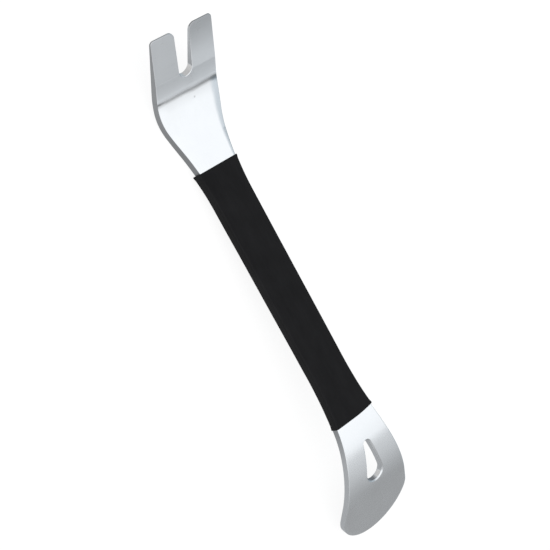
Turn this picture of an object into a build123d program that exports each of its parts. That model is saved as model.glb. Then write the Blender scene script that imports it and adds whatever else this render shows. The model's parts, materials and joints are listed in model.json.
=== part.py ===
from build123d import *

import os
from math import acos, atan2, cos, hypot, radians, sin, tan

# A short flat pry bar: one forged and chromed steel bar in a thin black grip sleeve.
# Millimetres, +Z up. The bar lies as it rests on a bench: the middle of its blade edge and the
# underside of its claw bend touch Z = 0. The claw points along +X, and the origin is at the
# middle of the bottom of the bounding box.

# Flat bar stock
shank_width = 18.6
shank_thickness = 4.6

# Claw end: bends up and is ground down to a thin split wedge
claw_bend_start = 72.0
claw_bend_radius = 38.0
claw_angle = 42.5
claw_straight = 28.0
claw_tip_half_width = 16.8
claw_tip_thickness = 0.9
claw_grind_length = 21.3
claw_grind_height = 1.9
claw_grind_round = 4.0
prong_inner_round = 3.4
prong_outer_round = 1.8

# Nail slot between the prongs
slot_depth = 23.5
slot_mouth = 8.3
slot_root = 7.2

# Claw flare: a long hollow curve that runs into a short full shoulder
claw_flare_start = 41.9
claw_hollow_radius = 132.4
claw_hollow_angle = 16.95
claw_shoulder_radius = 43.0
claw_shoulder_angle = 17.9

# Blade end: bends down, thins a little and spreads to a broad round edge
blade_bend_start = 73.5
blade_bend_radius = 52.0
blade_angle = 42.8
blade_straight = 27.0
blade_taper_start = 54.0
blade_taper_radius = 400.0
blade_bend_thickness = 3.8
blade_tip_thickness = 2.9
blade_edge_radius = 21.3
blade_corner_round = 11.5
blade_bevel_length = 6.0
blade_bevel_edge = 1.0

# Blade flare: a hollow curve that runs into straight sides
blade_flare_start = 45.0
blade_hollow_radius = 180.0
blade_hollow_angle = 12.8

# Teardrop nail hole, cut square to the blade bend at hole_turn, with its round end nearer the edge
hole_turn = 23.7
hole_round_radius = 4.7
hole_round_offset = 5.0
hole_narrow_radius = 1.9
hole_narrow_offset = 10.6
hole_rim_cut = 0.6

# Grip sleeve and the rounded edges
sleeve_claw_end = 59.4
sleeve_blade_end = 70.9
sleeve_wall = 0.6
sleeve_round = 0.8
bar_round = 0.3

# Generous sizes for tools that cut right through
beyond = 12.0
through = 40.0

half_width = shank_width / 2
half_thick = shank_thickness / 2
half_bend_thick = blade_bend_thickness / 2
half_tip_thick = blade_tip_thickness / 2

# Each bend has a corner, where the middle lines of its two straights would meet. A straight is
# measured from that corner: along it to the tip, and above its middle line.
claw_bend_reach = claw_bend_radius * tan(radians(claw_angle / 2))
blade_bend_reach = blade_bend_radius * tan(radians(blade_angle / 2))
claw_corner = claw_bend_start + claw_bend_reach
blade_corner = -blade_bend_start - blade_bend_reach
claw_length = claw_bend_reach + claw_straight
blade_length = blade_bend_reach + blade_straight


def claw_point(along, above):
    """A point of the claw in the side view of the level shank."""
    turn = radians(claw_angle)
    return (claw_corner + along * cos(turn) - above * sin(turn), along * sin(turn) + above * cos(turn))


def blade_point(along, above):
    """A point of the blade in the side view of the level shank."""
    turn = radians(blade_angle)
    return (blade_corner - along * cos(turn) - above * sin(turn), above * cos(turn) - along * sin(turn))


# Both faces turn about one centre in each bend, so their corners lie apart along the bar.
blade_bend_shift = half_bend_thick * tan(radians(blade_angle / 2))
claw_bend_shift = half_thick * tan(radians(claw_angle / 2))

# Rest pose: the shank tips by rest_tilt until two rounds touch Z = 0 together. One is the heel,
# the outer side of the claw bend. The other is the small round on the lower rim of the blade edge.
heel_radius = claw_bend_radius + half_thick
heel_corner = claw_corner + claw_bend_shift
tip_x, tip_z = claw_point(claw_length, -claw_tip_thickness / 2)
heel_turn = atan2(tip_z + half_thick, tip_x - heel_corner)
heel_x = heel_corner - heel_radius * tan(heel_turn / 2)
bevel_angle = atan2(blade_tip_thickness - blade_bevel_edge, blade_bevel_length)
rim_above = half_tip_thick - blade_bevel_edge + bar_round * (1 - sin(bevel_angle)) / cos(bevel_angle)
rim_x, rim_z = blade_point(blade_length - bar_round, rim_above)
heel_rise = claw_bend_radius - rim_z
heel_run = heel_x - rim_x
rest_tilt = acos((heel_radius - bar_round) / hypot(heel_rise, heel_run)) - atan2(heel_run, heel_rise)
shank_height = bar_round + rim_x * sin(rest_tilt) - rim_z * cos(rest_tilt)

back_x, back_z = blade_point(blade_length, half_tip_thick)
shank_shift = -((back_x + tip_x) * cos(rest_tilt) + (back_z + tip_z) * sin(rest_tilt)) / 2

shank_origin = Vector(shank_shift, 0, shank_height)
shank_along = Vector(cos(rest_tilt), 0, -sin(rest_tilt))
shank_up = Vector(sin(rest_tilt), 0, cos(rest_tilt))
shank_plane = Plane(origin=shank_origin, x_dir=shank_along, z_dir=shank_up)
side_plane = Plane(origin=shank_origin, x_dir=shank_along, z_dir=(0, -1, 0))

claw_rise = radians(claw_angle) - rest_tilt
claw_plane = Plane(
    origin=side_plane.from_local_coords(Vector(claw_corner, 0)),
    x_dir=(cos(claw_rise), 0, sin(claw_rise)),
    z_dir=(-sin(claw_rise), 0, cos(claw_rise)),
)
blade_fall = radians(blade_angle) - rest_tilt
blade_plane = Plane(
    origin=side_plane.from_local_coords(Vector(blade_corner, 0)),
    x_dir=(-cos(blade_fall), 0, -sin(blade_fall)),
    z_dir=(-sin(blade_fall), 0, cos(blade_fall)),
)
hole_fall = radians(hole_turn)
hole_drop = radians(hole_turn) - rest_tilt
hole_x = -blade_bend_start - blade_bend_radius * sin(hole_fall)
hole_z = -blade_bend_radius * (1 - cos(hole_fall))
hole_plane = Plane(
    origin=side_plane.from_local_coords(Vector(hole_x, hole_z)),
    x_dir=(-cos(hole_drop), 0, -sin(hole_drop)),
    z_dir=(-sin(hole_drop), 0, cos(hole_drop)),
)


def on_hole_rim(edge):
    """Tells whether an edge belongs to the upper rim of the nail hole."""
    seat = hole_plane.to_local_coords(edge.center())
    inside = abs(seat.X) < hole_narrow_offset + hole_round_radius and abs(seat.Y) < hole_round_radius
    return inside and seat.Z > 0


def plan_outline(grow):
    """The bar seen along the shank's normal, grown by a wall, past both tips."""
    with BuildSketch(shank_plane) as outline:
        with BuildLine():
            claw_neck = Line((0, half_width), (claw_flare_start, half_width))
            claw_hollow = JernArc(claw_neck @ 1, claw_neck % 1, claw_hollow_radius, claw_hollow_angle)
            shoulder = JernArc(claw_hollow @ 1, claw_hollow % 1, claw_shoulder_radius, -claw_shoulder_angle)
            claw_tip = Vector(claw_point(claw_length, 0)[0], claw_tip_half_width)
            claw_side = Line(shoulder @ 1, claw_tip + (claw_tip - shoulder @ 1) * 0.5)
            Line(claw_side @ 1, ((claw_side @ 1).X, 0))
            blade_neck = Line((0, half_width), (-blade_flare_start, half_width))
            blade_hollow = JernArc(blade_neck @ 1, blade_neck % 1, blade_hollow_radius, -blade_hollow_angle)
            blade_side = Line(blade_hollow @ 1, blade_hollow @ 1 + (blade_hollow % 1) * blade_length)
            Line(blade_side @ 1, ((blade_side @ 1).X, 0))
            mirror(about=Plane.XZ)
        make_face()
        if grow > 0:
            offset(amount=grow)
    return outline.sketch


# The bar: its side view, cut to its plan
with BuildPart() as steel_bar:
    with BuildSketch(side_plane):
        with BuildLine():
            upper = FilletPolyline(
                blade_point(blade_length, half_tip_thick),
                (blade_corner - blade_bend_shift, half_bend_thick),
                (-blade_taper_start, half_thick),
                (claw_corner - claw_bend_shift, half_thick),
                claw_point(claw_length - claw_grind_length, claw_grind_height),
                claw_point(claw_length, claw_tip_thickness / 2),
                radius=[
                    blade_bend_radius + half_bend_thick,
                    blade_taper_radius,
                    claw_bend_radius - half_thick,
                    claw_grind_round,
                ],
            )
            lower = FilletPolyline(
                blade_point(blade_length - blade_bevel_length, -half_tip_thick),
                (blade_corner + blade_bend_shift, -half_bend_thick),
                (-blade_taper_start, -half_thick),
                (claw_corner + claw_bend_shift, -half_thick),
                claw_point(claw_length, -claw_tip_thickness / 2),
                radius=[
                    blade_bend_radius - half_bend_thick,
                    blade_taper_radius,
                    claw_bend_radius + half_thick,
                ],
            )
            edge_corner = blade_point(blade_length, half_tip_thick - blade_bevel_edge)
            Line(upper @ 0, edge_corner)
            Line(edge_corner, lower @ 0)
            Line(upper @ 1, lower @ 1)
        make_face()
    extrude(amount=through, both=True)

    # Plan of the sides
    extrude(plan_outline(0), amount=2 * through, both=True, mode=Mode.INTERSECT)

    # Round cutting edge of the blade
    edge_centre = blade_length - blade_edge_radius
    with BuildSketch(blade_plane):
        with Locations((edge_centre + blade_edge_radius, 0)):
            Rectangle(2 * blade_edge_radius, 2 * through)
        with Locations((edge_centre, 0)):
            Circle(blade_edge_radius, mode=Mode.SUBTRACT)
    extrude(amount=beyond, both=True, mode=Mode.SUBTRACT)

    # Nail slot, with a round root
    root_centre = claw_length - slot_depth + slot_root / 2
    with BuildSketch(claw_plane):
        with BuildLine():
            slot_side = Line((root_centre, slot_root / 2), (claw_length, slot_mouth / 2))
            slot_far = Line(slot_side @ 1, (claw_length + beyond, slot_mouth / 2))
            slot_other = Line((root_centre, -slot_root / 2), (claw_length, -slot_mouth / 2))
            other_far = Line(slot_other @ 1, (claw_length + beyond, -slot_mouth / 2))
            Line(slot_far @ 1, other_far @ 1)
            ThreePointArc(slot_side @ 0, (root_centre - slot_root / 2, 0), slot_other @ 0)
        make_face()
    extrude(amount=beyond, both=True, mode=Mode.SUBTRACT)

    # Teardrop nail hole
    with BuildSketch(hole_plane):
        with Locations((hole_round_offset, 0)):
            Circle(hole_round_radius)
        with Locations((-hole_narrow_offset, 0)):
            Circle(hole_narrow_radius)
        make_hull()
    extrude(amount=beyond, both=True, mode=Mode.SUBTRACT)

    # Rounded blade corners: the short edges where each side meets the cutting edge
    widest = steel_bar.edges().filter_by(lambda edge: edge.length < shank_thickness).sort_by(Axis.Y)
    fillet([widest[0], widest[-1]], blade_corner_round)

    # Rounded prong tips: the shortest edges at the front
    prong_edges = steel_bar.edges().filter_by(lambda edge: edge.length < 2 * claw_tip_thickness)
    fillet(prong_edges.group_by(Axis.X)[-1].sort_by(Axis.Y)[1:3], prong_inner_round)
    prong_edges = steel_bar.edges().filter_by(lambda edge: edge.length < 2 * claw_tip_thickness)
    fillet(prong_edges.group_by(Axis.X)[-1], prong_outer_round)

    # Slightly rounded rims: not the short upright edges, the straight lines across or the hole's top
    rims = ShapeList()
    for edge in steel_bar.edges():
        run = edge.tangent_at(0.5)
        upright = abs(run.Z) > max(abs(run.X), abs(run.Y))
        across = edge.geom_type == GeomType.LINE and abs(run.Y) > 0.99
        if not upright and not across and not on_hole_rim(edge):
            rims.append(edge)
    fillet(rims, bar_round)

    # Broken upper rim of the nail hole
    chamfer(steel_bar.edges().filter_by(on_hole_rim), hole_rim_cut)

# Grip sleeve: a close tube around the shank
with BuildPart() as grip_sleeve:
    with BuildSketch(side_plane):
        taper = (half_thick - half_bend_thick) / (-blade_corner + blade_bend_shift - blade_taper_start)
        blade_end_height = half_thick - taper * (sleeve_blade_end - blade_taper_start)
        with BuildLine():
            Polyline(
                (sleeve_claw_end, half_thick + sleeve_wall),
                (-blade_taper_start, half_thick + sleeve_wall),
                (-sleeve_blade_end, blade_end_height + sleeve_wall),
                (-sleeve_blade_end, -blade_end_height - sleeve_wall),
                (-blade_taper_start, -half_thick - sleeve_wall),
                (sleeve_claw_end, -half_thick - sleeve_wall),
                close=True,
            )
        make_face()
    extrude(amount=through, both=True)
    extrude(plan_outline(sleeve_wall), amount=through, both=True, mode=Mode.INTERSECT)
    lengthwise = grip_sleeve.edges().filter_by(lambda edge: abs(edge.tangent_at(0.5).X) > 0.9)
    fillet(lengthwise, sleeve_round)
    add(steel_bar.part, mode=Mode.SUBTRACT)

os.makedirs("parts", exist_ok=True)
steel_bar.part.label = "steel_bar"
export_step(steel_bar.part, "parts/steel_bar.step")
grip_sleeve.part.label = "grip_sleeve"
export_step(grip_sleeve.part, "parts/grip_sleeve.step")
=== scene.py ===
# %% [markdown]
# # A short pry bar, finished in Blender
#
# The tool is one flat bar of forged steel. One end bends up into a split claw for nails, the other
# bends down into a round blade, and a thin black sleeve is shrunk onto the shank between them.
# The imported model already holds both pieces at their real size. This lesson keeps the steel bar as
# it is and gives it a worn chrome finish, and it remakes the plain sleeve as a soft rubber one.

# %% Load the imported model
import json
from math import cos, pi, sin

import bmesh
import bpy
from mathutils import Matrix, Vector, noise
from mathutils.bvhtree import BVHTree


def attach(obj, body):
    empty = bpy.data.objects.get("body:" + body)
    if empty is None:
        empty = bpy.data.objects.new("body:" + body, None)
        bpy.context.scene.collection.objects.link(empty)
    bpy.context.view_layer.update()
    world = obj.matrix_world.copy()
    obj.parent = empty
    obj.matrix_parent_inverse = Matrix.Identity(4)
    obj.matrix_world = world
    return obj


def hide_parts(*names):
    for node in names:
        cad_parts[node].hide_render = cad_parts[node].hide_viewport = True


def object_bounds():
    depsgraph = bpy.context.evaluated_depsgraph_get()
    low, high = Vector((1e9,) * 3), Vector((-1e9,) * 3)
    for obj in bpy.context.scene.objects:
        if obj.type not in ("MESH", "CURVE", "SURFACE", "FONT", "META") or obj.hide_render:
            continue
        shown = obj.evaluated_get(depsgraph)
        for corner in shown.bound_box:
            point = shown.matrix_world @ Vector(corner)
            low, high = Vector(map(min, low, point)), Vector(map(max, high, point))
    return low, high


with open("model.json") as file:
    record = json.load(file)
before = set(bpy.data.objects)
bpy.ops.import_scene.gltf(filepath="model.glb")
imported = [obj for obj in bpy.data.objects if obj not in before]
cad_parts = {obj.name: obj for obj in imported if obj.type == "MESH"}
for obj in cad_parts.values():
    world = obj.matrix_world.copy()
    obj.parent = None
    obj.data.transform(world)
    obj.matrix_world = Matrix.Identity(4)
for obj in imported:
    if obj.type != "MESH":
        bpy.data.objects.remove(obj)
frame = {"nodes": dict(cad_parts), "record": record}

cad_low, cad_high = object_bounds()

MM = 0.001

print("bar", [round(side / MM, 1) for side in cad_high - cad_low], "mm")

# %% [markdown]
# ## Directions that belong to the tool
#
# The bar doesn't lie level: it rests on its blade edge and on the heel of the claw. Marks left by
# grinding follow the steel and not the bench, so each part of the finish needs its own direction.
# The record's mounts say which way the grip, the claw and the blade hole face. Reading them from
# there keeps the finish right if the part is ever bent a little more or less.

# %% Directions along the shank, the claw and the blade
ACROSS = Vector((0, 1, 0))
UP = Vector((0, 0, 1))

mounts = {mount["name"]: mount for mount in frame["record"]["mounts"]}


def facing(name):
    """The way that a mount faces."""
    return Vector(mounts[name]["axis"])


def centre(name):
    """Where a mount is."""
    return Vector(mounts[name]["pos_m"])


def along(up):
    """The way towards the claw, square to up, in the plane that halves the bar."""
    return Vector((up.z, 0, -up.x))


shank_up = facing("grip_top")
shank_along = along(shank_up)
shank_middle = (centre("grip_top") + centre("grip_underside")) / 2
claw_up = facing("nail_slot")
claw_along = along(claw_up)
hole_up = facing("nail_hole")
hole_centre = centre("nail_hole")

steel = frame["nodes"]["steel_bar"]
claw_tip = max(vertex.co.dot(claw_along) for vertex in steel.data.vertices)
print("claw tip", round(claw_tip / MM, 1), "mm along the claw")

# %% [markdown]
# ## Shader maths in plain Python
#
# A finish is mostly arithmetic: a mask times a scratch, a roughness plus some grime. Wiring each
# sum by hand hides what it means, so a socket is wrapped in a small class. Adding or multiplying
# two of them adds a Math node, and `1 - mask` works as it reads. Every other kind of node comes
# from one method, which takes the node's type, its settings and what its sockets are fed.


# %% A socket that can be used in a sum
class Value:
    """A socket of a finish that can be added, multiplied and subtracted like a number."""

    def __init__(self, finish, socket):
        self.finish = finish
        self.socket = socket

    def sum(self, operation, left, right):
        return self.finish.node("Math", {"operation": operation}, {0: left, 1: right})

    def __add__(self, other):
        return self.sum("ADD", self, other)

    def __radd__(self, other):
        return self.sum("ADD", other, self)

    def __sub__(self, other):
        return self.sum("SUBTRACT", self, other)

    def __rsub__(self, other):
        return self.sum("SUBTRACT", other, self)

    def __mul__(self, other):
        return self.sum("MULTIPLY", self, other)

    def __rmul__(self, other):
        return self.sum("MULTIPLY", other, self)

    def __neg__(self):
        return self.sum("MULTIPLY", self, -1)

    def __abs__(self):
        return self.sum("ABSOLUTE", self, 0)


# %% A finish and its nodes
class Finish:
    """A material, or the sky, made of nodes."""

    def __init__(self, owner):
        owner.use_nodes = True
        self.owner = owner
        self.tree = owner.node_tree
        self.tree.nodes.clear()

    def node(self, kind, settings, sockets, output=0):
        """Adds a node, sets it up, feeds its sockets and gives back one of its outputs."""
        made = self.tree.nodes.new("ShaderNode" + kind)
        for name, setting in settings.items():
            if name == "stops":
                self.set_stops(made.color_ramp, setting)
            else:
                setattr(made, name, setting)
        for name, fed in sockets.items():
            if isinstance(fed, Value):
                self.tree.links.new(fed.socket, made.inputs[name])
            else:
                made.inputs[name].default_value = fed
        return Value(self, made.outputs[output]) if made.outputs else None

    def set_stops(self, ramp, stops):
        """Gives a ramp these stops, each a place from 0 to 1 and how bright it is there."""
        while len(ramp.elements) < len(stops):
            ramp.elements.new(1)
        for element, (place, grey) in zip(ramp.elements, stops):
            element.position = place
            element.color = (grey, grey, grey, 1)

    def place(self):
        """The point being shaded, in metres, in the tool's own frame."""
        return self.node("TexCoord", {}, {}, "Object")

    def outward(self):
        """The way that the surface faces at the point being shaded, before any bump."""
        return self.node("NewGeometry", {}, {}, "True Normal")

    def distance(self, point, direction):
        """How far a point is along a direction, or how much a surface faces it."""
        return self.node("VectorMath", {"operation": "DOT_PRODUCT"}, {0: point, 1: direction}, "Value")

    def gap(self, point, other):
        """How far apart two points are."""
        return self.node("VectorMath", {"operation": "DISTANCE"}, {0: point, 1: other}, "Value")

    def rise(self, value, low, high):
        """0 where a value is below low, 1 where it is above high, with a soft step between."""
        settings = {"interpolation_type": "SMOOTHSTEP"}
        return self.node("MapRange", settings, {"Value": value, "From Min": low, "From Max": high})

    def fall(self, value, low, high):
        """1 where a value is below low, 0 where it is above high, with a soft step between."""
        return 1 - self.rise(value, low, high)

    def grain(self, point, stretch, detail=4.0, roughness=0.55):
        """Noise from 0 to 1 whose features are 1/stretch metres long in each direction."""
        scaled = self.node("VectorMath", {"operation": "MULTIPLY"}, {0: point, 1: stretch})
        sockets = {"Vector": scaled, "Scale": 1.0, "Detail": detail, "Roughness": roughness}
        return self.node("TexNoise", {}, sockets)

    def blend(self, share, first, second):
        """A colour between two others, or beyond them where the share is under 0 or over 1."""
        sockets = {"Factor": share, "A": first, "B": second}
        return self.node("Mix", {"data_type": "RGBA", "clamp_factor": False}, sockets, "Result")

    def bump(self, height, depth, below=None):
        """A normal pushed by a height from 0 to 1, which stands for a depth in metres."""
        sockets = {"Height": height, "Distance": depth, "Strength": 1.0}
        if below is not None:
            sockets["Normal"] = below
        return self.node("Bump", {}, sockets)


print("shader maths ready")

# %% [markdown]
# ## Calipers
#
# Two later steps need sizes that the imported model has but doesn't list: how wide the steel is all
# along its length, and where the sleeve's walls are. A ray sent in from outside stops at the first
# face it meets, as a caliper's jaw does. A tree of the faces makes each of these rays quick.

# %% A caliper made of rays
FAR_OUT = 40 * MM


def faces_of(piece):
    """The faces of a CAD piece, sorted into a tree for rays."""
    corners = [vertex.co.copy() for vertex in piece.data.vertices]
    return BVHTree.FromPolygons(corners, [face.vertices[:] for face in piece.data.polygons])


def caliper(tree, middle, outward):
    """How far the outside is from a point inside, measured from the outside in."""
    hit = tree.ray_cast(middle + outward * FAR_OUT, -outward)[0]
    return (hit - middle).length if hit else 0


steel_faces = faces_of(steel)
shank_width = 2 * caliper(steel_faces, shank_middle, ACROSS)
print("shank", round(shank_width / MM, 2), "mm wide at its middle")

# %% [markdown]
# The outline of the bar is felt at 31 places. A ray from above and one from below find the middle
# of the thickness, off to one side so that they miss the slot and the hole, and a ray at that
# height finds the edge. The list becomes a ramp in the finish, which lets every point of the
# surface know how far it is from the nearest long edge.

# %% How wide the steel is along its length
STATIONS = 31
END_GAP = 1.3 * MM
CLEAR_OF_SLOT = Vector((0, 6 * MM, 0))
WIDEST = 25 * MM


def half_width_at(x):
    """Half the width of the bar at a place along it, felt at the middle of its thickness."""
    bench = Vector((x, 0, 0)) + CLEAR_OF_SLOT
    top = caliper(steel_faces, bench, UP)
    below = caliper(steel_faces, bench + UP * FAR_OUT, -UP)
    middle_height = (top + FAR_OUT - below) / 2
    return caliper(steel_faces, Vector((x, 0, middle_height)), ACROSS)


steel_run = cad_high.x - cad_low.x - 2 * END_GAP
half_widths = []
for step in range(STATIONS):
    share = step / (STATIONS - 1)
    half_widths.append((share, half_width_at(cad_low.x + END_GAP + steel_run * share) / WIDEST))
print("half widths", [round(part * WIDEST / MM, 1) for _, part in half_widths])

# %% [markdown]
# ## Chrome over ground steel
#
# The bar was forged, its faces were ground, and it was then plated with bright chrome. Plating
# copies what lies under it. So the shank and the bends are nearly a mirror, with long faint
# polishing lines and the slow waves of hand polishing. The flat of the claw was ground on a belt
# before plating, across the bar, and stays satin, and its last stretch slopes down to the prongs'
# tips. The sides, the slot and the punched hole are cut walls: they are rougher, and their colour
# is painted darker, as painted shade.
#
# This could be several materials on separate faces, but their borders would be as sharp as paint.
# One material does it all: it measures where a point lies, and a soft mask for each zone picks its
# roughness, its marks and a brightness that paints its reflections into its colour. The first
# masks run along the claw, from its tip back.

# %% Zones along the claw
CLAW_GRIND_LENGTH = 21.3 * MM
CLAW_BELT_LENGTH = 31.0 * MM
BELT_WANDER = 1.4 * MM
BELT_FADE = (-0.4 * MM, 1.0 * MM)
BELT_LINE = (0.2 * MM, 2.2 * MM)
CREASE = (0, 0.4 * MM)
PRONG_GAP = 6 * MM

chrome = Finish(bpy.data.materials.new("worn_chrome"))
place = chrome.place()
outward = chrome.outward()

claw_distance = chrome.distance(place, claw_along) - claw_tip
wander = (chrome.grain(place, (0, 95, 0), 1.0) - 0.5) * BELT_WANDER
past_belt = claw_distance + wander + CLAW_BELT_LENGTH
past_crease = claw_distance + CLAW_GRIND_LENGTH
claw_belt = chrome.rise(past_belt, *BELT_FADE)
# Mask of a painted dark line, painted shade, along the edge of the belt's band.
painted_belt_shade_line = chrome.fall(abs(past_belt), *BELT_LINE)
band_slope = chrome.rise(past_crease, CLAW_GRIND_LENGTH - CLAW_BELT_LENGTH, 0)
claw_ground = chrome.rise(past_crease, *CREASE)
claw_slope = chrome.rise(past_crease, 0, CLAW_GRIND_LENGTH)
far_prong = chrome.rise(chrome.distance(place, -ACROSS), -PRONG_GAP, PRONG_GAP)
print("claw ground", round(CLAW_GRIND_LENGTH / MM, 1), "mm, belted", round(CLAW_BELT_LENGTH / MM, 1), "mm")

# %% Zones along the shank, and the bar's sides
BLADE_TURN = (-88 * MM, -62 * MM)
CLAW_SIDE = (70 * MM, 100 * MM)
BLADE_SIDE = (-90 * MM, -65 * MM)
SIDE_ON = (0.75, 0.92)

shank_distance = chrome.distance(place, shank_along) - shank_middle.dot(shank_along)
blade_turn = chrome.fall(shank_distance, *BLADE_TURN)
claw_side = chrome.rise(shank_distance, *CLAW_SIDE)
blade_side = chrome.fall(shank_distance, *BLADE_SIDE)
side_wall = chrome.rise(abs(chrome.distance(outward, ACROSS)), *SIDE_ON)
off_centre = abs(chrome.distance(place, ACROSS))
print("blade end starts", round(-BLADE_TURN[1] / MM), "mm from the middle")

# %% [markdown]
# The slot was sheared and the hole was punched, and both were left as the tool left them. Their
# walls stand up, so a mask takes only faces that don't face the same way as the flat around them.
# The slot's round end is given a painted highlight in its colour, and so is one side of the
# hole's wall.

# %% The slot and the hole
STANDING = (0.3, 0.6)
SLOT_LENGTH = 24.5 * MM
SLOT_START = (0, 0.4 * MM)
SLOT_WALLS = (4.6 * MM, 4.8 * MM)
SLOT_ROOT = (3 * MM, 5 * MM)
HOLE_LENGTH = (13.5 * MM, 14.5 * MM)
HOLE_WALLS = (6 * MM, 7 * MM)
HOLE_HIGHLIGHT_PLACE = 3.3 * MM
HOLE_HIGHLIGHT_SPREAD = (1.5 * MM, 4.0 * MM)


def standing(up):
    """1 on walls that stand up this way, and 0 on the flats that face it."""
    return chrome.fall(abs(chrome.distance(outward, up)), *STANDING)


past_root = claw_distance + SLOT_LENGTH
in_slot = chrome.rise(past_root, *SLOT_START) * chrome.fall(off_centre, *SLOT_WALLS) * standing(claw_up)
# The walls at the slot's round end, which get a painted highlight.
slot_root = in_slot * chrome.fall(past_root, *SLOT_ROOT)

in_hole = chrome.fall(chrome.gap(place, hole_centre), *HOLE_LENGTH) * standing(hole_up)
in_hole = in_hole * (1 - side_wall) * chrome.fall(off_centre, *HOLE_WALLS)
# A painted highlight on one side of the hole's wall.
hole_highlight_spot = hole_centre - (along(hole_up) + ACROSS) * HOLE_HIGHLIGHT_PLACE
painted_hole_highlight = in_hole * chrome.fall(chrome.gap(place, hole_highlight_spot), *HOLE_HIGHLIGHT_SPREAD)
cut_wall = side_wall + in_slot + in_hole
print("slot masked", round(SLOT_LENGTH / MM, 1), "mm back from the tip")

# %% [markdown]
# Hand polishing takes more off near an edge than in the middle, so the flats roll over towards the
# long edges. Polishers call this dubbing. It hardly shows until the light slides along the neck of
# the claw, where it darkens both borders. It could be modelled, but it is only a few hundredths of
# a millimetre deep, so here it is a height for the bump, as is one small ding from a nail's head.

# %% Edges and one ding
DUBBING = 1.4 * MM
NECK_DUBBING = 3.6 * MM
NECK = (52 * MM, 98 * MM)
DUBBED_FROM = (40 * MM, 62 * MM)
RIM = (0.15 * MM, 0.9 * MM)
DING_PLACE = Vector((95.9, -3.2, 6.9)) * MM
DING_SIZE = (0.1 * MM, 0.8 * MM)

run = (chrome.distance(place, (1, 0, 0)) - (cad_low.x + END_GAP)) * (1 / steel_run)
half_width = chrome.node("ValToRGB", {"stops": half_widths}, {"Fac": run}) * WIDEST
margin = half_width - off_centre
dub_width = DUBBING + chrome.rise(shank_distance, *NECK) * NECK_DUBBING
dubbed = chrome.rise(margin, -dub_width, dub_width)
dub_depth = dub_width * (1 - claw_belt) * chrome.rise(shank_distance, *DUBBED_FROM) * (1 / MM)
rim = chrome.fall(margin, *RIM)
ding = chrome.fall(chrome.gap(place, DING_PLACE), *DING_SIZE)
print("edges dubbed over", DUBBING / MM, "mm, and", (DUBBING + NECK_DUBBING) / MM, "mm at the claw's neck")

# %% [markdown]
# The marks under the plating are noise that is stretched in one direction or another. Polishing
# lines run along the bar, and the belt's lines run across it. The waves are wide and have no
# direction, and the pits are the few spots where a fine noise is highest.

# %% Marks in the steel under the plating
polish_lines = chrome.grain(place, (70, 2600, 2600), 3.0)
belt_lines = chrome.grain(place, (5200, 160, 5200), 3.0)
slow_waves = chrome.grain(place, (38, 60, 38), 1.0)
quick_waves = chrome.grain(place, (150, 220, 150), 2.0)
smudges = chrome.grain(place, (90, 90, 90), 5.0, 0.6)
pits = chrome.rise(chrome.grain(place, (900, 900, 900), 1.0), 0.80, 0.86)
torn = chrome.grain(place, (520, 520, 520), 2.0)
lines = polish_lines * (1 - claw_belt) + belt_lines * claw_belt
print("marks laid")

# %% [markdown]
# Roughness decides how far a reflection spreads. Mirror chrome would be near 0, but this bar has
# been handled, so even its shank is a little soft. The blade end was polished less than the shank,
# and the walls least of all.

# %% How rough each zone is
POLISHED = 0.10
TURNED = 0.26
SATIN = 0.30
SHEARED = 0.36
BELTED_WALLS = 0.75
LINE_ROUGHNESS = 0.10
SMUDGE_ROUGHNESS = 0.08
PIT_ROUGHNESS = 0.25
RIM_ROUGHNESS = 0.06

roughness = (
    POLISHED
    + claw_belt * (SATIN - POLISHED)
    + blade_turn * (TURNED - POLISHED)
    + cut_wall * (SHEARED - POLISHED) * (1 - claw_belt * BELTED_WALLS)
    + (lines - 0.5) * LINE_ROUGHNESS
    + (smudges - 0.5) * SMUDGE_ROUGHNESS
    + pits * PIT_ROUGHNESS
    + rim * RIM_ROUGHNESS
)
print("roughness from", POLISHED, "to", SHEARED)

# %% [markdown]
# Metal has no colour of its own but the tint of its reflections. Here each zone also gets a level,
# where 1 is plain chrome, that scales its colour to paint in how bright its reflections look under
# this light: painted reflection, painted highlight and painted shade. The belt's band starts as a
# painted highlight and darkens towards the crease, a painted dark line runs along the belt's edge,
# and one prong is painted darker than the other and darkens faster towards its tip. The side walls
# are painted half as bright as the flats along the shank, and less dark towards both ends.

# %% How bright the flats are: painted reflection and painted shade
BAND = 1.21
BAND_DROP = 0.23
BELT_LINE_DROP = 0.27
BELT_LINE_FAR_DROP = 0.16
PRONG = 0.83
FAR_PRONG_LIFT = 0.15
PRONG_DROP = 0.08
FAR_PRONG_DROP = 0.32

# Painted highlight: the band is brighter than plain chrome at first, then darkens towards the crease.
painted_band_reflection = BAND - band_slope * BAND_DROP
# Painted reflection: one prong is painted darker than the other, and both darken towards the tips.
painted_prong_reflection = PRONG + far_prong * FAR_PRONG_LIFT - claw_slope * (PRONG_DROP + far_prong * FAR_PRONG_DROP)
painted_flat_reflection = 1 + claw_belt * (painted_band_reflection - 1)
painted_flat_reflection = painted_flat_reflection + claw_ground * (painted_prong_reflection - painted_flat_reflection)
# Painted shade: a dark line along the edge of the belt's band.
painted_flat_reflection = painted_flat_reflection - painted_belt_shade_line * (BELT_LINE_DROP + far_prong * BELT_LINE_FAR_DROP)
print("flats from", round(PRONG - PRONG_DROP, 2), "to", BAND)

# %% How bright the walls are: painted reflection, painted highlight and painted shade
SHEARED_WALL = 0.50
CLAW_SIDE_LIFT = 0.16
BLADE_SIDE_LIFT = 0.46
SLOT_LIFT = 0.24
SLOT_ROOT_PAINTED_HIGHLIGHT = 0.65
HOLE_PAINTED_SHADE = 0.44
TORN_SPREAD = 0.9
HOLE_PAINTED_HIGHLIGHT = 1.10

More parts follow.
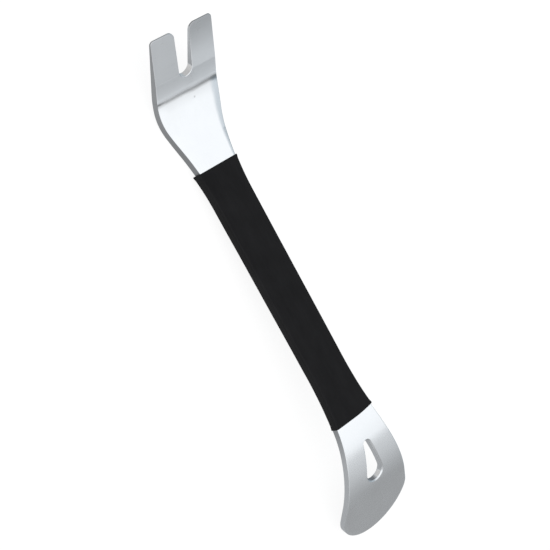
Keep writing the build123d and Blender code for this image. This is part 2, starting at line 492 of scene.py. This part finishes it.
# The walls' colour carries painted reflection: brighter towards both ends and in the slot, painted shade
# inside the hole, painted highlights at the slot's root and on one side of the hole, and a random torn
# spread.
painted_wall_reflection = (
    SHEARED_WALL
    + claw_side * CLAW_SIDE_LIFT
    + blade_side * BLADE_SIDE_LIFT
    + in_slot * SLOT_LIFT
    + slot_root * SLOT_ROOT_PAINTED_HIGHLIGHT
    - in_hole * HOLE_PAINTED_SHADE
    + (torn - 0.5) * in_hole * TORN_SPREAD
    + painted_hole_highlight * HOLE_PAINTED_HIGHLIGHT
)
print("plain wall", SHEARED_WALL)

# %% The tint of the chrome, carrying the painted reflection levels
MIRROR_GREY = (0.70, 0.725, 0.75, 1)
BLACK = (0, 0, 0, 1)
PIT_DROP = 0.4
DING_DROP = 0.22
SMUDGE_SPREAD = 0.10
LINE_SPREAD = 0.06

# The painted reflection levels of the flats and walls, with the pits, the ding, and random smudges and
# lines.
marks_and_painted_reflection = painted_flat_reflection + (painted_wall_reflection - painted_flat_reflection) * cut_wall
marks_and_painted_reflection = marks_and_painted_reflection - pits * PIT_DROP - ding * DING_DROP
marks_and_painted_reflection = marks_and_painted_reflection + (smudges - 0.5) * SMUDGE_SPREAD + (lines - 0.5) * LINE_SPREAD
# The chrome's grey scaled by these levels, so painted reflection and shade sit in the base colour.
tint = chrome.blend(marks_and_painted_reflection, BLACK, MIRROR_GREY)
print("tint", MIRROR_GREY[:3])

# %% [markdown]
# Last come the heights. Bumps are laid over one another from the largest to the finest: the dubbed
# edges and the ding, the slow waves, the ripples, and the lines. Each one takes the normal of the
# one below it, as each stage of polishing works on what the last one left.

# %% The heights, and the finished chrome
DUB_HEIGHT = 0.1 * MM
DING_DEPTH = 0.2
WAVE_HEIGHT = 0.030 * MM
RIPPLE_HEIGHT = 0.004 * MM
LINE_HEIGHT = 0.0016 * MM

edges = chrome.bump((dubbed - 1) * dub_depth - ding * DING_DEPTH, DUB_HEIGHT)
waves = chrome.bump(slow_waves, WAVE_HEIGHT, edges)
ripples = chrome.bump(quick_waves, RIPPLE_HEIGHT, waves)
marked = chrome.bump(lines, LINE_HEIGHT, ripples)

surface = chrome.node(
    "BsdfPrincipled",
    {},
    {"Base Color": tint, "Metallic": 1.0, "Roughness": roughness, "Normal": marked},
)
chrome.node("OutputMaterial", {}, {"Surface": surface})
steel.data.materials.clear()
steel.data.materials.append(chrome.owner)
print("steel bar finished with", len(chrome.tree.nodes), "nodes")

# %% [markdown]
# ## The sleeve
#
# The grip is a length of thin rubbery tube, shrunk onto the shank with heat. It takes the bar's
# section with softer corners, and each cut end keeps a slight lip. The plain CAD sleeve could have
# its corners rounded with a bevel, but it would still look machined. So the sleeve is lofted: a
# ring of points around the section is carried along the shank. The calipers give the CAD sleeve's
# sizes, and the new skin follows the same flare at both ends.

# %% Measure the CAD sleeve along the shank
sleeve_cad = frame["nodes"]["grip_sleeve"]
sleeve_faces = faces_of(sleeve_cad)
reaches = [(vertex.co - shank_middle).dot(shank_along) for vertex in sleeve_cad.data.vertices]
SLEEVE_START = min(reaches)
SLEEVE_END = max(reaches)
INSIDE_END = 0.4 * MM
SLEEVE_LENGTH = SLEEVE_END - SLEEVE_START


def sleeve_reach(station, outward):
    """How far the sleeve's outside is from the shank's middle line, at a station along it."""
    inside = min(max(station, SLEEVE_START + INSIDE_END), SLEEVE_END - INSIDE_END)
    return caliper(sleeve_faces, shank_middle + shank_along * inside, outward)


sleeve_width = 2 * sleeve_reach(0, ACROSS)
print("sleeve", round(SLEEVE_LENGTH / MM, 1), "mm long,", round(sleeve_width / MM, 2), "mm wide")

# %% The section of the tube
WALL = 0.6 * MM
SLACK = 0.02 * MM
CORNER = 1.1 * MM
INNER_CORNER = 0.35 * MM
CORNER_POINTS = 9
FACE_POINTS = 22
EDGE_POINTS = 5


def section(half_width, half_height, radius):
    """Points round a rectangle as pairs across and up: each round corner, then the flat after it."""
    flat_width = half_width - radius
    flat_height = half_height - radius
    points = []
    for quarter in range(4):
        right = 1 if quarter in (0, 3) else -1
        upper = 1 if quarter in (0, 1) else -1
        for step in range(CORNER_POINTS):
            turn = (quarter + step / (CORNER_POINTS - 1)) * pi / 2
            over = right * flat_width + radius * cos(turn)
            up = upper * flat_height + radius * sin(turn)
            points.append((over, up))
        across_face = quarter in (0, 2)
        fill = FACE_POINTS if across_face else EDGE_POINTS
        far_over = -over if across_face else over
        far_up = up if across_face else -up
        for step in range(1, fill + 1):
            part = step / (fill + 1)
            points.append((over + (far_over - over) * part, up + (far_up - up) * part))
    return points


print(len(section(10 * MM, 3 * MM, CORNER)), "points in a ring")

# %% [markdown]
# The ends are what show that this is a tube and not paint. The rings bunch up there: they swell
# into a lip, round over the cut, and run back inside along the steel, so the skin is closed.
#
# A real sleeve is never quite true. The wall shrinks a little thicker on one side, the cut at the
# blade end was trimmed by eye and leans back at one corner, and over the flats the film rises and
# falls by a few hundredths of a millimetre. All of this changes the outline, which a bump map
# can't do, so it is in the rings.

# %% What makes the sleeve untrue
LIP_LENGTH = 2.4 * MM
LIP_HEIGHT = 0.16 * MM
THICK_SIDE = 0.7 * MM
THIN_SIDE = -0.35 * MM
SLANT = 1.0 * MM
SLANT_FADE = 12 * MM
FILM_WAVES = ((55, 0.045 * MM), (190, 0.014 * MM))


def lip(gap):
    """How far the skin swells at a distance from a cut end."""
    part = min(gap / LIP_LENGTH, 1)
    return LIP_HEIGHT * (1 - part) ** 2 * (1 + 2 * part)


def uneven(station):
    """How much the near side of the sleeve stands out: less at the blade end, more at the claw's."""
    return THIN_SIDE + (THICK_SIDE - THIN_SIDE) * (station - SLEEVE_START) / SLEEVE_LENGTH


def slant(station, side):
    """How far the blade end's cut leans back towards its far corner."""
    near = max(1 - (station - SLEEVE_START) / SLANT_FADE, 0)
    return shank_along * SLANT * near * max(-side, 0) ** 2


def swell(point):
    """How far the film rises or sinks at a point."""
    return sum(noise.noise(point * pace) * height for pace, height in FILM_WAVES)


print("near side stands out", THIN_SIDE / MM, "to", THICK_SIDE / MM, "mm")

# %% Rings of the outside and of the inside
def outer_ring(station, sink):
    """One ring of the outside, at a station, with the cut's rounding sinking it."""
    gap = min(station - SLEEVE_START, SLEEVE_END - station)
    grown = lip(gap) - sink
    half_width = sleeve_reach(station, ACROSS) + grown
    half_height = sleeve_reach(station, shank_up) + grown
    middle = shank_middle + shank_along * station
    ring = []
    for over, up in section(half_width, half_height, CORNER):
        over += uneven(station) * max(over / half_width, 0)
        point = middle + ACROSS * over + shank_up * up + slant(station, over / half_width)
        out = ACROSS * (over / half_width) + shank_up * (up / half_height)
        ring.append(point + out.normalized() * swell(point))
    return ring


def inner_ring(station):
    """One ring of the inside, just off the steel."""
    half_width = sleeve_reach(station, ACROSS) - WALL + SLACK
    half_height = sleeve_reach(station, shank_up) - WALL + SLACK
    middle = shank_middle + shank_along * station
    ring = []
    for over, up in section(half_width, half_height, INNER_CORNER):
        ring.append(middle + ACROSS * over + shank_up * up + slant(station, over / half_width))
    return ring


highest = max(swell(point) for point in outer_ring(0, 0))
print("film rises", round(highest / MM, 3), "mm at most round the middle")

# %% [markdown]
# Where the rings go matters as much as their shape. At each cut they follow a small quarter round,
# over the lip they stand close together, and along the body they are spread evenly, close enough
# to carry the slow waves of the film.

# %% Stations along the sleeve
CUT_ROUND = 0.28 * MM
CUT_STEPS = 6
LIP_SPAN = 3.2 * MM
LIP_STEPS = 8
BODY_STEPS = 130
INNER_STEPS = 40


def outer_stations():
    """Places along the outside, each with how deep the cut's rounding has sunk it."""
    cut = []
    for step in range(CUT_STEPS):
        turn = step / CUT_STEPS * pi / 2
        cut.append((CUT_ROUND * (1 - cos(turn)), CUT_ROUND * (1 - sin(turn))))
    lip_gaps = [(CUT_ROUND + LIP_SPAN * step / LIP_STEPS, 0) for step in range(LIP_STEPS)]
    end = cut + lip_gaps
    inset = CUT_ROUND + LIP_SPAN
    body = SLEEVE_LENGTH - 2 * inset
    whole = [(SLEEVE_START + gap, sink) for gap, sink in end]
    whole += [(SLEEVE_START + inset + body * step / BODY_STEPS, 0) for step in range(BODY_STEPS + 1)]
    whole += [(SLEEVE_END - gap, sink) for gap, sink in reversed(end)]
    return whole


rings = [outer_ring(station, sink) for station, sink in outer_stations()]
for step in range(INNER_STEPS + 1):
    rings.append(inner_ring(SLEEVE_END - SLEEVE_LENGTH * step / INNER_STEPS))
print(len(rings), "rings")

# %% Skin the rings
def join(mesh, rings):
    """Stretches a band of smooth faces from each ring of vertices to the next."""
    for ring, following in zip(rings, rings[1:]):
        for here in range(len(ring)):
            there = (here + 1) % len(ring)
            face = mesh.faces.new((ring[here], ring[there], following[there], following[here]))
            face.smooth = True


def into_scene(name, data):
    """Puts a mesh, a light or a camera into the scene."""
    made = bpy.data.objects.new(name, data)
    bpy.context.scene.collection.objects.link(made)
    return made


def as_piece(name, mesh):
    """Turns a finished bmesh into an object."""
    data = bpy.data.meshes.new(name)
    mesh.to_mesh(data)
    mesh.free()
    return into_scene(name, data)


tube = bmesh.new()
made_rings = [[tube.verts.new(point) for point in ring] for ring in rings]
join(tube, made_rings + made_rings[:1])
bmesh.ops.recalc_face_normals(tube, faces=tube.faces)
sleeve = as_piece("shrunk_sleeve", tube)
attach(sleeve, "root")
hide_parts("grip_sleeve")
print("sleeve has", len(sleeve.data.polygons), "faces")

# %% [markdown]
# ## Matte black rubber
#
# Shrunk tube has almost no shine. What makes it read as rubber is a fine leathery grain that
# scatters the light, faint mottling where it thinned as it shrank, drag marks along it, and a
# slight polish where fingers rub the lengthwise corners, which are also painted paler in colour,
# as wear and as a painted highlight. The grain is a bump of a few hundredths of a millimetre. The
# colour stays very dark, because even a small rise turns black plastic grey under a bright sky.
# Towards its outline a matte surface looks a little paler, so Layer Weight paints a pale grey
# sheen into the colour there: a painted sheen.

# %% The sleeve's grain, its rubbed corners and its painted edge sheen
FACED = (0.90, 0.99)
EDGE_ON = (0.70, 1.0)

rubber = Finish(bpy.data.materials.new("shrunk_rubber"))
rubber_place = rubber.place()
rubber_outward = rubber.outward()
fine_grain = rubber.grain(rubber_place, (1900, 1900, 1900), 3.0, 0.6)
leather = rubber.grain(rubber_place, (620, 760, 620), 3.0)
mottle = rubber.grain(rubber_place, (75, 150, 75), 5.0, 0.6)
drag = rubber.grain(rubber_place, (60, 900, 900), 2.0)

off_top = rubber.fall(abs(rubber.distance(rubber_outward, shank_up)), *FACED)
off_side = rubber.fall(abs(rubber.distance(rubber_outward, ACROSS)), *FACED)
# Rubbed corners: real wear in the roughness, and wear with a painted highlight in the colour.
rubbed_wear_and_highlight = off_top * off_side
# Painted sheen towards the outline, from Layer Weight's facing.
painted_edge_sheen = rubber.rise(rubber.node("LayerWeight", {}, {"Blend": 0.5}, "Facing"), *EDGE_ON)
print("rubber grain ready")

# %% The finished rubber
MATTE = 0.72
MOTTLE_ROUGHNESS = 0.16
GRAIN_ROUGHNESS = 0.12
RUBBED_POLISH = 0.10
DEEP_BLACK = (0.0098, 0.0098, 0.0106, 1)
CHARCOAL = (0.0145, 0.0145, 0.0156, 1)
WORN_AND_SHEEN_GREY = (0.050, 0.050, 0.054, 1)
CHARCOAL_SHARE = 0.42
MOTTLE_SHARE = 2.4
DRAG_SHARE = 0.6
RUBBED_WEAR_AND_HIGHLIGHT_SHARE = 0.08
EDGE_SHEEN_SHARE = 0.7
LEATHER_HEIGHT = 0.022 * MM
GRAIN_HEIGHT = 0.010 * MM

mottling = (mottle - 0.5) * MOTTLE_SHARE + CHARCOAL_SHARE + (drag - 0.5) * DRAG_SHARE
mottled = rubber.blend(mottling, DEEP_BLACK, CHARCOAL)
# Painted highlight and sheen: the rubbed corners and the outline are blended towards pale grey.
rubber_tone = rubber.blend(rubbed_wear_and_highlight * RUBBED_WEAR_AND_HIGHLIGHT_SHARE + painted_edge_sheen * EDGE_SHEEN_SHARE, mottled, WORN_AND_SHEEN_GREY)
matte = MATTE + (mottle - 0.5) * MOTTLE_ROUGHNESS + (fine_grain - 0.5) * GRAIN_ROUGHNESS
coarse = rubber.bump(leather, LEATHER_HEIGHT)
surface = rubber.node(
    "BsdfPrincipled",
    {},
    {
        "Base Color": rubber_tone,
        "Roughness": matte - rubbed_wear_and_highlight * RUBBED_POLISH,
        "Normal": rubber.bump(fine_grain, GRAIN_HEIGHT, coarse),
        "Specular IOR Level": 0.08,
        "Sheen Weight": 0.012,
        "Sheen Roughness": 0.45,
    },
)
rubber.node("OutputMaterial", {}, {"Surface": surface})
sleeve.data.materials.append(rubber.owner)
print("sleeve finished with", len(rubber.tree.nodes), "nodes")

# %% [markdown]
# ## A pale light table
#
# Chrome shows the room more than itself, so what stands around the tool matters as much as its
# finish. It lies on a white table top that glows, which keeps its shadow very faint, and a curved
# cove rises far behind it, so no horizon shows. Both are hidden from mirror reflections, because a
# white floor would fill the sides of the bar with white and they would vanish against it.

# %% The glowing white
WHITES = ((0.17, 0.17, 0.17, 1), (0.19, 0.19, 0.19, 1))
TABLE_GLOW = 0.87

table = Finish(bpy.data.materials.new("light_table"))
cloud = table.grain(table.place(), (3, 3, 3), 2.0)
surface = table.node(
    "BsdfPrincipled",
    {},
    {
        "Base Color": table.blend(cloud, *WHITES),
        "Roughness": 0.8,
        "Emission Color": (1, 1, 1, 1),
        "Emission Strength": TABLE_GLOW,
    },
)
table.node("OutputMaterial", {}, {"Surface": surface})
print("table glows at", TABLE_GLOW)

# %% The table top and the cove behind it
TABLE_RADII = (0.4, 2.6)
COVE_RADIUS = 0.9
COVE_TOP = 2.6
COVE_STEPS = 14
ROUND_STEPS = 96


def turned(name, profile, filled):
    """A stage piece turned about Z from pairs of radius and height, its first ring filled or open."""
    mesh = bmesh.new()
    rings = []
    for radius, height in profile:
        turns = [step / ROUND_STEPS * 2 * pi for step in range(ROUND_STEPS)]
        rings.append([mesh.verts.new((radius * cos(turn), radius * sin(turn), height)) for turn in turns])
    if filled:
        mesh.faces.new(rings[0])
    join(mesh, rings)
    piece = as_piece(name, mesh)
    piece.data.materials.append(table.owner)
    piece.visible_glossy = False
    return piece


cove_profile = []
for step in range(COVE_STEPS + 1):
    turn = step / COVE_STEPS * pi / 2
    cove_profile.append((TABLE_RADII[1] + COVE_RADIUS * sin(turn), COVE_RADIUS * (1 - cos(turn))))
cove_profile.append((TABLE_RADII[1] + COVE_RADIUS, COVE_TOP))

turned("floor", [(radius, 0) for radius in TABLE_RADII], True)
cove = turned("cove", cove_profile, False)
cove.visible_diffuse = False
cove.visible_shadow = False
print("table", 2 * TABLE_RADII[1], "m across, cove", COVE_TOP, "m high")

# %% [markdown]
# ## Light
#
# Two lights make the look. The sky is a soft dome, white overhead and falling to grey a little
# above the bench, so a face that tips over slides from white to grey. One side of the dome is
# shaded a cool grey, as a wall of the room would shade it, and gives the steel its darker and bluer
# reflections there.
#
# The other light is a large soft panel that leans over the blade end with its lower edge close to
# the tool. It lets the sky show through it, so what the steel mirrors there is the sky and the
# panel's glow together. From the claw the lower edge is far away and low, so the claw's bend stays
# white almost to its end. From the blade the same edge is close and high, so the blade turns grey
# early. That is why one end looks brighter than the other.

# %% The sky
SKY = [
    (-1.0, 0.60),
    (-0.35, 0.58),
    (-0.13, 0.40),
    (0.12, 0.47),
    (0.3, 0.56),
    (0.45, 0.70),
    (0.6, 0.85),
    (0.75, 0.88),
    (1.0, 0.92),
]
SHADED_WAY = Vector((0, -1, 0))
SHADE_EDGE = (0.53, 0.63)
SHADE_BLUE = (0.37, 0.425, 0.465, 1)

world = bpy.data.worlds.new("soft_dome")
bpy.context.scene.world = world
dome = Finish(world)
way = dome.node("TexCoord", {}, {}, "Generated")
height = dome.distance(way, UP)
shade = dome.rise(dome.distance(way, SHADED_WAY), *SHADE_EDGE)
stops = [((way_up + 1) / 2, brightness) for way_up, brightness in SKY]
glow = dome.node("ValToRGB", {"stops": stops}, {"Fac": height * 0.5 + 0.5})
background = dome.node("Background", {}, {"Color": dome.blend(shade, glow, SHADE_BLUE), "Strength": 1.0})
dome.node("OutputWorld", {}, {"Surface": background})
brightnesses = [brightness for _, brightness in SKY]
print("dome lit from", min(brightnesses), "to", max(brightnesses))

# %% The leaning panel
PANEL_FOOT = Vector((-0.154, -0.10, 0.135))
PANEL_HEAD = Vector((0.25, -0.10, 0.95))
PANEL_WIDTH = 1.0
PANEL_GLOW = 0.36


def aimed(place, view, up):
    """Puts a light or a camera at a place, looking along view, with up towards its top."""
    turned_to = Matrix((view.cross(up).normalized(), up, -view)).transposed()
    return Matrix.Translation(place) @ turned_to.to_4x4()


lean = PANEL_HEAD - PANEL_FOOT
shine = lean.normalized().cross(ACROSS)
if shine.z > 0:
    shine = -shine
lamp = bpy.data.lights.new("leaning_panel", "AREA")
lamp.shape = "RECTANGLE"
lamp.size = PANEL_WIDTH
lamp.size_y = lean.length
lamp.energy = 4 * PANEL_WIDTH * lean.length * PANEL_GLOW
panel = into_scene("leaning_panel", lamp)
panel.matrix_world = aimed((PANEL_FOOT + PANEL_HEAD) / 2, shine, ACROSS.cross(shine))
panel.visible_camera = False
print("panel shines along", [round(part, 2) for part in shine])

# %% [markdown]
# ## The camera
#
# The tool is seen from above and a little to one side, claw at the top, with a long lens so that
# its two ends keep nearly the same scale. A camera could be made to track the grip, but a written
# place, view and up say the same thing with nothing left to solve, and they also say how the
# camera is rolled so that the bar leans across the frame.

# %% Camera
CAMERA_PLACE = Vector((0.17085, 0.31349, 0.53328))
CAMERA_VIEW = Vector((-0.256958, -0.498396, -0.827994))
CAMERA_UP = Vector((0.881935, -0.471266, 0.009972))
LENS = 91.92

lens = bpy.data.cameras.new("camera")
lens.lens = LENS
lens.sensor_width = 36
lens.clip_start = 0.01
lens.clip_end = 20
camera = into_scene("camera", lens)
camera.matrix_world = aimed(CAMERA_PLACE, CAMERA_VIEW, CAMERA_UP)
bpy.context.scene.camera = camera
bpy.context.scene.view_settings.view_transform = "Standard"
print("camera", round((CAMERA_PLACE - shank_middle).length, 3), "m from the grip")
